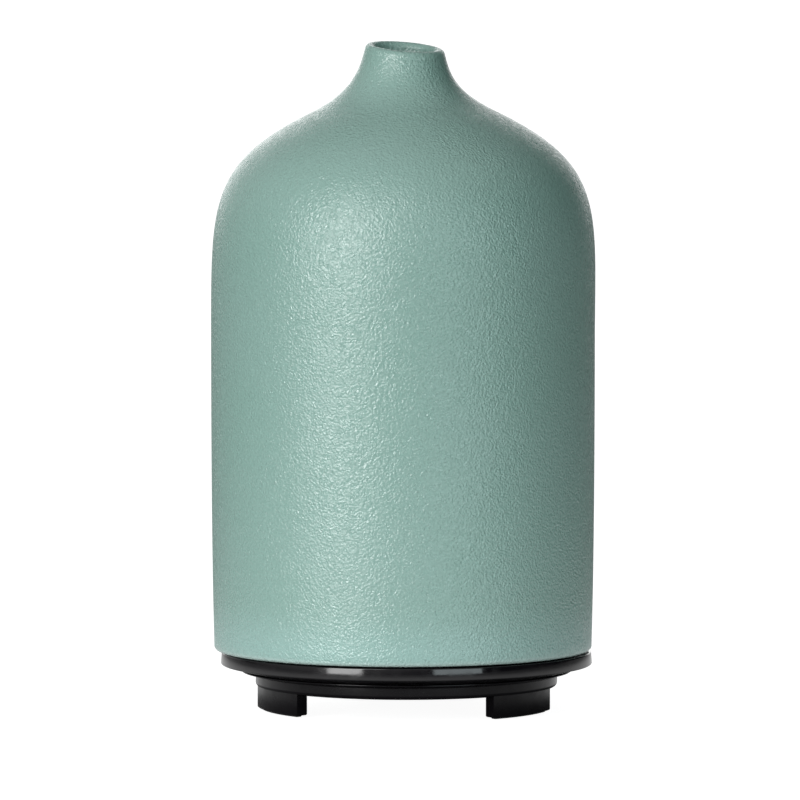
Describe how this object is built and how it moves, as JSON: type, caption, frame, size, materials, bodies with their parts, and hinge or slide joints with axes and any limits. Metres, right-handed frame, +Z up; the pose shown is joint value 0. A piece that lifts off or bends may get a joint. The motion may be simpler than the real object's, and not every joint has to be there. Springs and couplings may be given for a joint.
{
  "type": "essential oil diffuser",
  "caption": "Table-top ultrasonic oil diffuser: bottle-shaped glazed ceramic cover over a lidded water tank, on a black plastic base with feet.",
  "frame": {"origin": "on the table, on the axis of the base's flange", "axes": "+Z up along the base's axis; the front faces -Y and the inlet and buttons face +Y; +X to the right seen from the front"},
  "size_m": [0.096, 0.0961, 0.1667],
  "materials": {
    "sage_glaze": "satin glaze",
    "gloss_black": "polished",
    "frosted_white": "frosted",
    "dark_rubber": "matt",
    "pale_rubber": "matt",
    "fan_black": "fine texture",
    "board_green": "solder mask",
    "component_black": "moulded",
    "connector_cream": "moulded",
    "clear_plastic": "clear",
    "wire_red": "smooth",
    "wire_black": "smooth",
    "screw_steel": "zinc plated",
    "disc_metal": "polished",
    "bearing_brass": "turned",
    "winding_copper": "enamelled",
    "plain_aluminium": "as extruded"
  },
  "bodies": {
    "base": {"upper_housing": "gloss_black", "lower_housing": "gloss_black", "foot_pad_left": "dark_rubber", "foot_pad_right": "dark_rubber", "foot_pad_rear": "dark_rubber", "transducer_disc": "disc_metal", "transducer_gasket": "pale_rubber", "transducer_clamp": "connector_cream", "transducer_screw_1": "screw_steel", "transducer_screw_2": "screw_steel", "transducer_screw_3": "screw_steel", "fan_frame": "fan_black", "fan_bearing": "bearing_brass", "fan_stator": "winding_copper", "fan_screw_1": "screw_steel", "fan_screw_2": "screw_steel", "main_pcb": "board_green", "controller_chip": "component_black", "boost_inductor": "component_black", "filter_inductor": "component_black", "capacitor": "plain_aluminium", "mosfet": "component_black", "heat_sink": "plain_aluminium", "fan_connector": "connector_cream", "transducer_connector": "connector_cream", "pcb_screw_1": "screw_steel", "pcb_screw_2": "screw_steel", "led_left": "clear_plastic", "led_right": "clear_plastic", "led_window_left": "clear_plastic", "led_window_right": "clear_plastic", "control_board": "board_green", "board_header": "component_black", "dc_jack": "component_black", "dc_jack_pin": "screw_steel", "mist_switch": "component_black", "light_switch": "component_black", "transducer_lead_1": "wire_red", "transducer_lead_2": "wire_black", "fan_lead_1": "wire_red", "fan_lead_2": "wire_black", "power_lead_1": "wire_red", "power_lead_2": "wire_black", "housing_screw_1": "screw_steel", "housing_screw_2": "screw_steel", "housing_screw_3": "screw_steel"},
    "cover": {"ceramic_cover": "sage_glaze"},
    "inner_lid": {"inner_lid": "frosted_white"},
    "mist_button": {"mist_button": "gloss_black", "mist_plunger": "connector_cream"},
    "light_button": {"light_button": "gloss_black", "light_plunger": "connector_cream"},
    "fan_rotor": {"fan_rotor": "fan_black", "fan_shaft": "screw_steel"}
  },
  "joints": [
    {"name": "lid_lift", "type": "slide", "parent": "base", "child": "inner_lid", "axis": [0, 0, 1], "range_m": [0, 0.06]},
    {"name": "cover_lift", "type": "slide", "parent": "inner_lid", "child": "cover", "axis": [0, 0, 1], "range_m": [0, 0.14]},
    {"name": "mist_press", "type": "slide", "parent": "base", "child": "mist_button", "axis": [0, -1, 0], "range_m": [0, 0.0005], "stiffness_N_per_m": 800, "springref_m": -0.001},
    {"name": "light_press", "type": "slide", "parent": "base", "child": "light_button", "axis": [0, -1, 0], "range_m": [0, 0.0005], "stiffness_N_per_m": 800, "springref_m": -0.001},
    {"name": "fan_spin", "type": "hinge", "parent": "base", "child": "fan_rotor", "pos_m": [0, -0.003, 0.0135], "axis": [0, 0, 1], "continuous": true}
  ]
}
